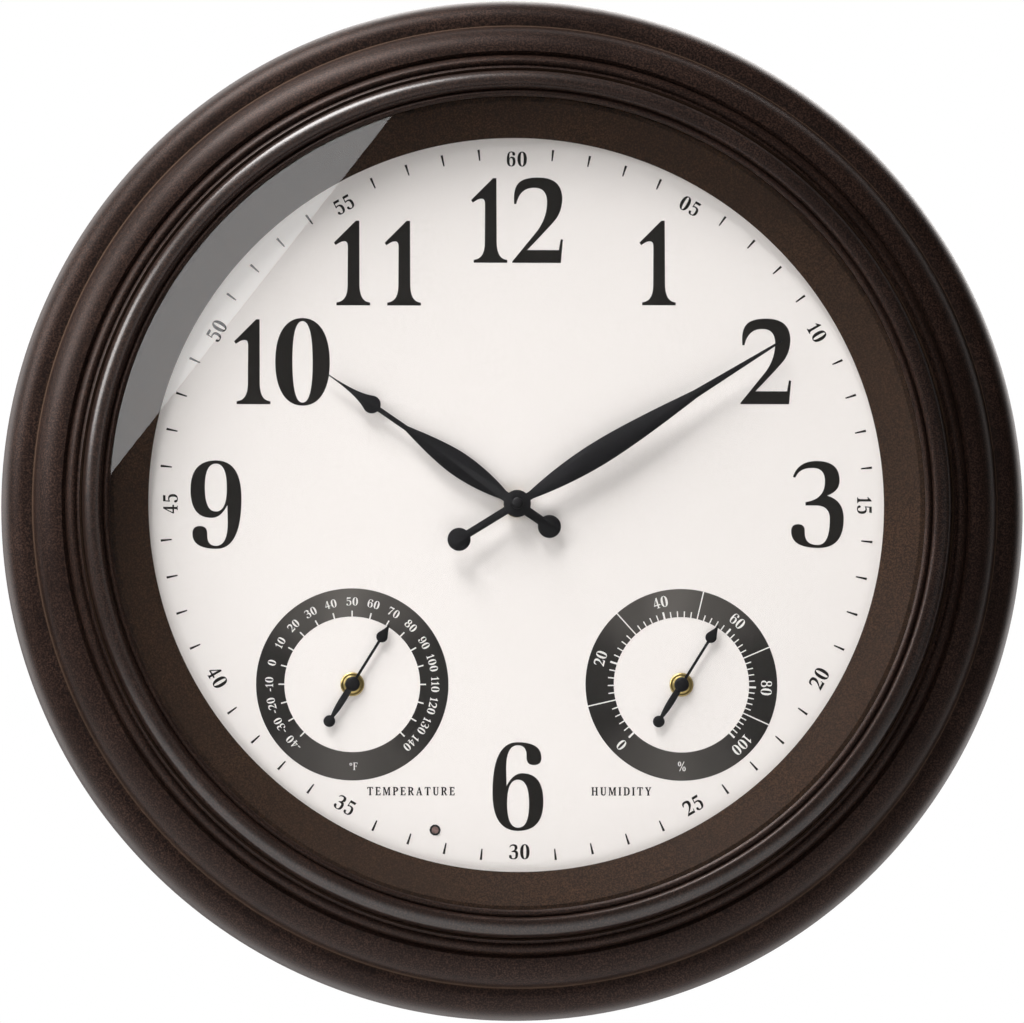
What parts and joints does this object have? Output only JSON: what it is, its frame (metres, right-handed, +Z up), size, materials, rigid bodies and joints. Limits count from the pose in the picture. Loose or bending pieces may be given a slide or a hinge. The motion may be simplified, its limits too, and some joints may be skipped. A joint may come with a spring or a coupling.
{
  "type": "outdoor wall clock",
  "caption": "Round outdoor wall clock with a stepped moulded frame, glass front, shaded lamp ring, tapered hands, and a thermometer and hygrometer set into the dial.",
  "frame": {"origin": "on the hands' axis, half-way between the wall plane and the front of the frame", "axes": "+X to the viewer's right, +Z up to twelve o'clock, +Y into the wall; the dial faces -Y"},
  "size_m": [0.5588, 0.0648, 0.5588],
  "materials": {
    "frame_bronze": "dark bronze paint with fine speckle, satin",
    "shade_brown": "brown fine-textured paint",
    "clear_glass": "clear float glass",
    "black_rubber": "matt",
    "dial_white": "off-white, printed, matt",
    "hand_dark": "blue-black paint",
    "black_plastic": "moulded, lightly grained",
    "grey_plastic": "moulded",
    "white_plastic": "moulded",
    "wheel_plastic": "moulded acetal",
    "brass": "turned, lightly polished",
    "bimetal": "rolled strip",
    "steel": "zinc or nickel plated",
    "copper_wire": "enamelled copper wire",
    "board_green": "solder-masked board",
    "strip_white": "white lamp strip",
    "cell_skin": "printed sleeve, plain",
    "lead_skin": "insulated wire",
    "sensor_face": "light-dependent resistor under resin"
  },
  "bodies": {
    "housing": {"outer_frame": "frame_bronze", "glass_gasket": "black_rubber", "glass_lens": "clear_glass", "lamp_shade": "shade_brown", "lamp_strip": "strip_white", "dial_plate": "dial_white", "rear_cover": "black_plastic", "keyhole_hanger": "steel", "battery_tray": "black_plastic", "battery_contact_bridge": "steel", "battery_contact_upper": "steel", "battery_contact_lower": "steel", "battery_cell_1": "cell_skin", "battery_cell_2": "cell_skin", "battery_cell_3": "cell_skin", "battery_cell_4": "cell_skin", "switch_body": "black_plastic", "control_board": "board_green", "light_sensor": "sensor_face", "sensor_sleeve": "black_plastic", "battery_lead": "lead_skin", "lamp_lead": "lead_skin", "movement_case": "black_plastic", "movement_lid": "black_plastic", "train_plate": "white_plastic", "movement_board": "board_green", "shaft_gasket": "black_rubber", "shaft_washer": "brass", "shaft_nut": "brass", "motor_stator": "steel", "motor_core": "steel", "motor_coil": "copper_wire", "movement_cell": "cell_skin", "movement_contact_left": "steel", "movement_contact_right": "steel", "thermometer_cup": "grey_plastic", "thermometer_coil": "bimetal", "thermometer_bush": "brass", "hygrometer_cup": "grey_plastic", "hygrometer_coil": "bimetal", "hygrometer_bush": "brass"},
    "minute_set": {"minute_arbor": "brass", "minute_hand": "hand_dark", "hand_nut": "hand_dark"},
    "hour_set": {"hour_wheel": "wheel_plastic", "hour_hand": "hand_dark"},
    "motion_set": {"motion_wheel": "wheel_plastic"},
    "knob_set": {"setting_knob": "white_plastic"},
    "rotor_set": {"motor_rotor": "steel"},
    "first_set": {"first_wheel": "wheel_plastic"},
    "second_set": {"second_wheel": "wheel_plastic"},
    "third_set": {"third_wheel": "wheel_plastic"},
    "centre_set": {"centre_wheel": "brass"},
    "thermometer_set": {"thermometer_staff": "brass", "thermometer_pointer": "hand_dark"},
    "hygrometer_set": {"hygrometer_staff": "brass", "hygrometer_pointer": "hand_dark"},
    "door_set": {"battery_door": "black_plastic"},
    "slider_set": {"switch_slider": "white_plastic"}
  },
  "joints": [
    {"name": "minute_turn", "type": "hinge", "parent": "housing", "child": "minute_set", "pos_m": [0, -0.0014, 0], "axis": [0, 1, 0], "continuous": true},
    {"name": "hour_turn", "type": "hinge", "parent": "housing", "child": "hour_set", "pos_m": [0, -0.0033, 0], "axis": [0, 1, 0], "continuous": true},
    {"name": "motion_turn", "type": "hinge", "parent": "housing", "child": "motion_set", "pos_m": [0.01159, -0.0014, 0.00311], "axis": [0, 1, 0], "continuous": true},
    {"name": "knob_turn", "type": "hinge", "parent": "housing", "child": "knob_set", "pos_m": [0.02078, -0.0014, -0.00461], "axis": [0, 1, 0], "continuous": true},
    {"name": "rotor_turn", "type": "hinge", "parent": "housing", "child": "rotor_set", "pos_m": [0.00269, 0.0038, 0.01702], "axis": [0, 1, 0], "continuous": true},
    {"name": "first_turn", "type": "hinge", "parent": "housing", "child": "first_set", "pos_m": [-0.00374, 0.0038, 0.01468], "axis": [0, 1, 0], "continuous": true},
    {"name": "second_turn", "type": "hinge", "parent": "housing", "child": "second_set", "pos_m": [-0.01077, 0.0056, 0.01344], "axis": [0, 1, 0], "continuous": true},
    {"name": "third_turn", "type": "hinge", "parent": "housing", "child": "third_set", "pos_m": [-0.00935, 0.0074, 0.0054], "axis": [0, 1, 0], "continuous": true},
    {"name": "centre_turn", "type": "hinge", "parent": "housing", "child": "centre_set", "pos_m": [0, 0.0022, 0], "axis": [0, 1, 0], "continuous": true},
    {"name": "thermometer_turn", "type": "hinge", "parent": "housing", "child": "thermometer_set", "pos_m": [-0.0896, -0.0119, -0.0981], "axis": [0, 1, 0], "range_deg": [-167, 103], "stiffness_Nm_per_rad": 0.01},
    {"name": "hygrometer_turn", "type": "hinge", "parent": "housing", "child": "hygrometer_set", "pos_m": [0.0896, -0.0119, -0.0981], "axis": [0, 1, 0], "range_deg": [-167, 103], "stiffness_Nm_per_rad": 0.01},
    {"name": "door_hinge", "type": "hinge", "parent": "housing", "child": "door_set", "pos_m": [0, 0.0289, -0.134], "axis": [-1, 0, 0], "range_deg": [0, 100]},
    {"name": "switch_slide", "type": "slide", "parent": "housing", "child": "slider_set", "axis": [1, 0, 0], "range_m": [0, 0.005]}
  ],
  "couplings": [
    {"joint": "hour_turn", "follows": "minute_turn", "ratio": 0.083333},
    {"joint": "motion_turn", "follows": "minute_turn", "ratio": -0.33333},
    {"joint": "knob_turn", "follows": "minute_turn", "ratio": 1},
    {"joint": "first_turn", "follows": "rotor_turn", "ratio": -0.2},
    {"joint": "second_turn", "follows": "rotor_turn", "ratio": 0.033333},
    {"joint": "third_turn", "follows": "rotor_turn", "ratio": -0.0044444},
    {"joint": "centre_turn", "follows": "rotor_turn", "ratio": 0.00055556}
  ]
}
